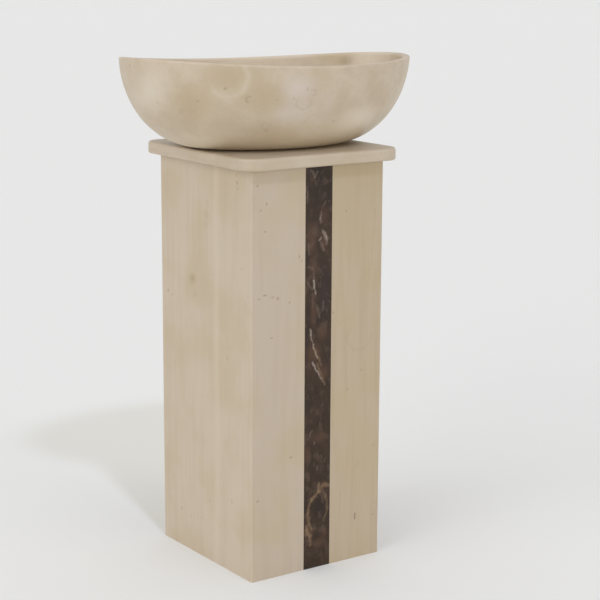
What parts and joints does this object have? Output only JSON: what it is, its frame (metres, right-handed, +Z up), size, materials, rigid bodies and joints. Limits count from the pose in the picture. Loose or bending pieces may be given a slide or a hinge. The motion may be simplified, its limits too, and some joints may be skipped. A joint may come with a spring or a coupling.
{
  "type": "pedestal basin",
  "caption": "Freestanding pedestal basin: an oval marble bowl with a waved rim on a marble slab and a hollow column with a dark inlay strip, with click-plug waste and bottle trap.",
  "frame": {"origin": "on the floor, straight below the centre of the drain, which is the centre of the oval bowl", "axes": "+Z up, -Y towards the front with the dark strip, +X to the right seen from the front"},
  "size_m": [0.5234, 0.3592, 0.8508],
  "materials": {
    "bowl_marble": "honed cream limestone-like marble with cloudy mottling",
    "slab_marble": "honed cream marble, veins along the slab",
    "front_left_marble": "honed cream marble with small pits",
    "front_right_marble": "honed tan marble with small pits",
    "left_marble": "honed cream marble, cut with the vein upright",
    "right_marble": "honed cream marble, cut with the vein upright",
    "back_marble": "honed cream marble, cut with the vein upright",
    "inlay_marble": "honed dark brown marble with pale veins",
    "batten_marble": "sawn cream marble offcuts",
    "sealant": "stone-coloured sealant",
    "chrome": "bright chrome plate on brass",
    "brass": "turned brass",
    "spring_steel": "drawn stainless wire",
    "seal_rubber": "moulded black rubber",
    "white_plastic": "moulded white plastic"
  },
  "bodies": {
    "basin": {"basin_bowl": "bowl_marble", "bowl_bedding": "sealant", "top_slab": "slab_marble", "front_left_panel": "front_left_marble", "front_inlay_strip": "inlay_marble", "front_right_panel": "front_right_marble", "left_side_panel": "left_marble", "right_side_panel": "right_marble", "back_panel": "back_marble", "strip_backing_batten": "batten_marble", "waste_body": "chrome", "flange_seal": "seal_rubber", "lower_seal": "seal_rubber", "slip_washer": "white_plastic", "backnut": "brass", "click_cartridge": "brass", "click_spring": "spring_steel", "inlet_nut": "chrome", "inlet_washer": "seal_rubber", "dip_tube": "chrome", "trap_head": "chrome", "head_nut": "chrome", "head_seal": "seal_rubber", "outlet_nut": "chrome", "outlet_seal": "seal_rubber", "outlet_pipe": "chrome", "trap_cup": "chrome", "cup_seal": "seal_rubber", "corner_batten_front_left": "batten_marble", "corner_batten_front_right": "batten_marble", "corner_batten_back_left": "batten_marble", "corner_batten_back_right": "batten_marble", "slab_block_front": "batten_marble", "slab_block_back": "batten_marble", "slab_block_left": "batten_marble", "slab_block_right": "batten_marble"},
    "plug": {"plug_cap": "chrome", "plug_stem": "brass", "plug_seal": "seal_rubber"}
  },
  "joints": [
    {"name": "plug_slide", "type": "slide", "parent": "basin", "child": "plug", "axis": [0, 0, 1], "range_m": [0, 0.008], "deforming": ["click_spring"]}
  ]
}
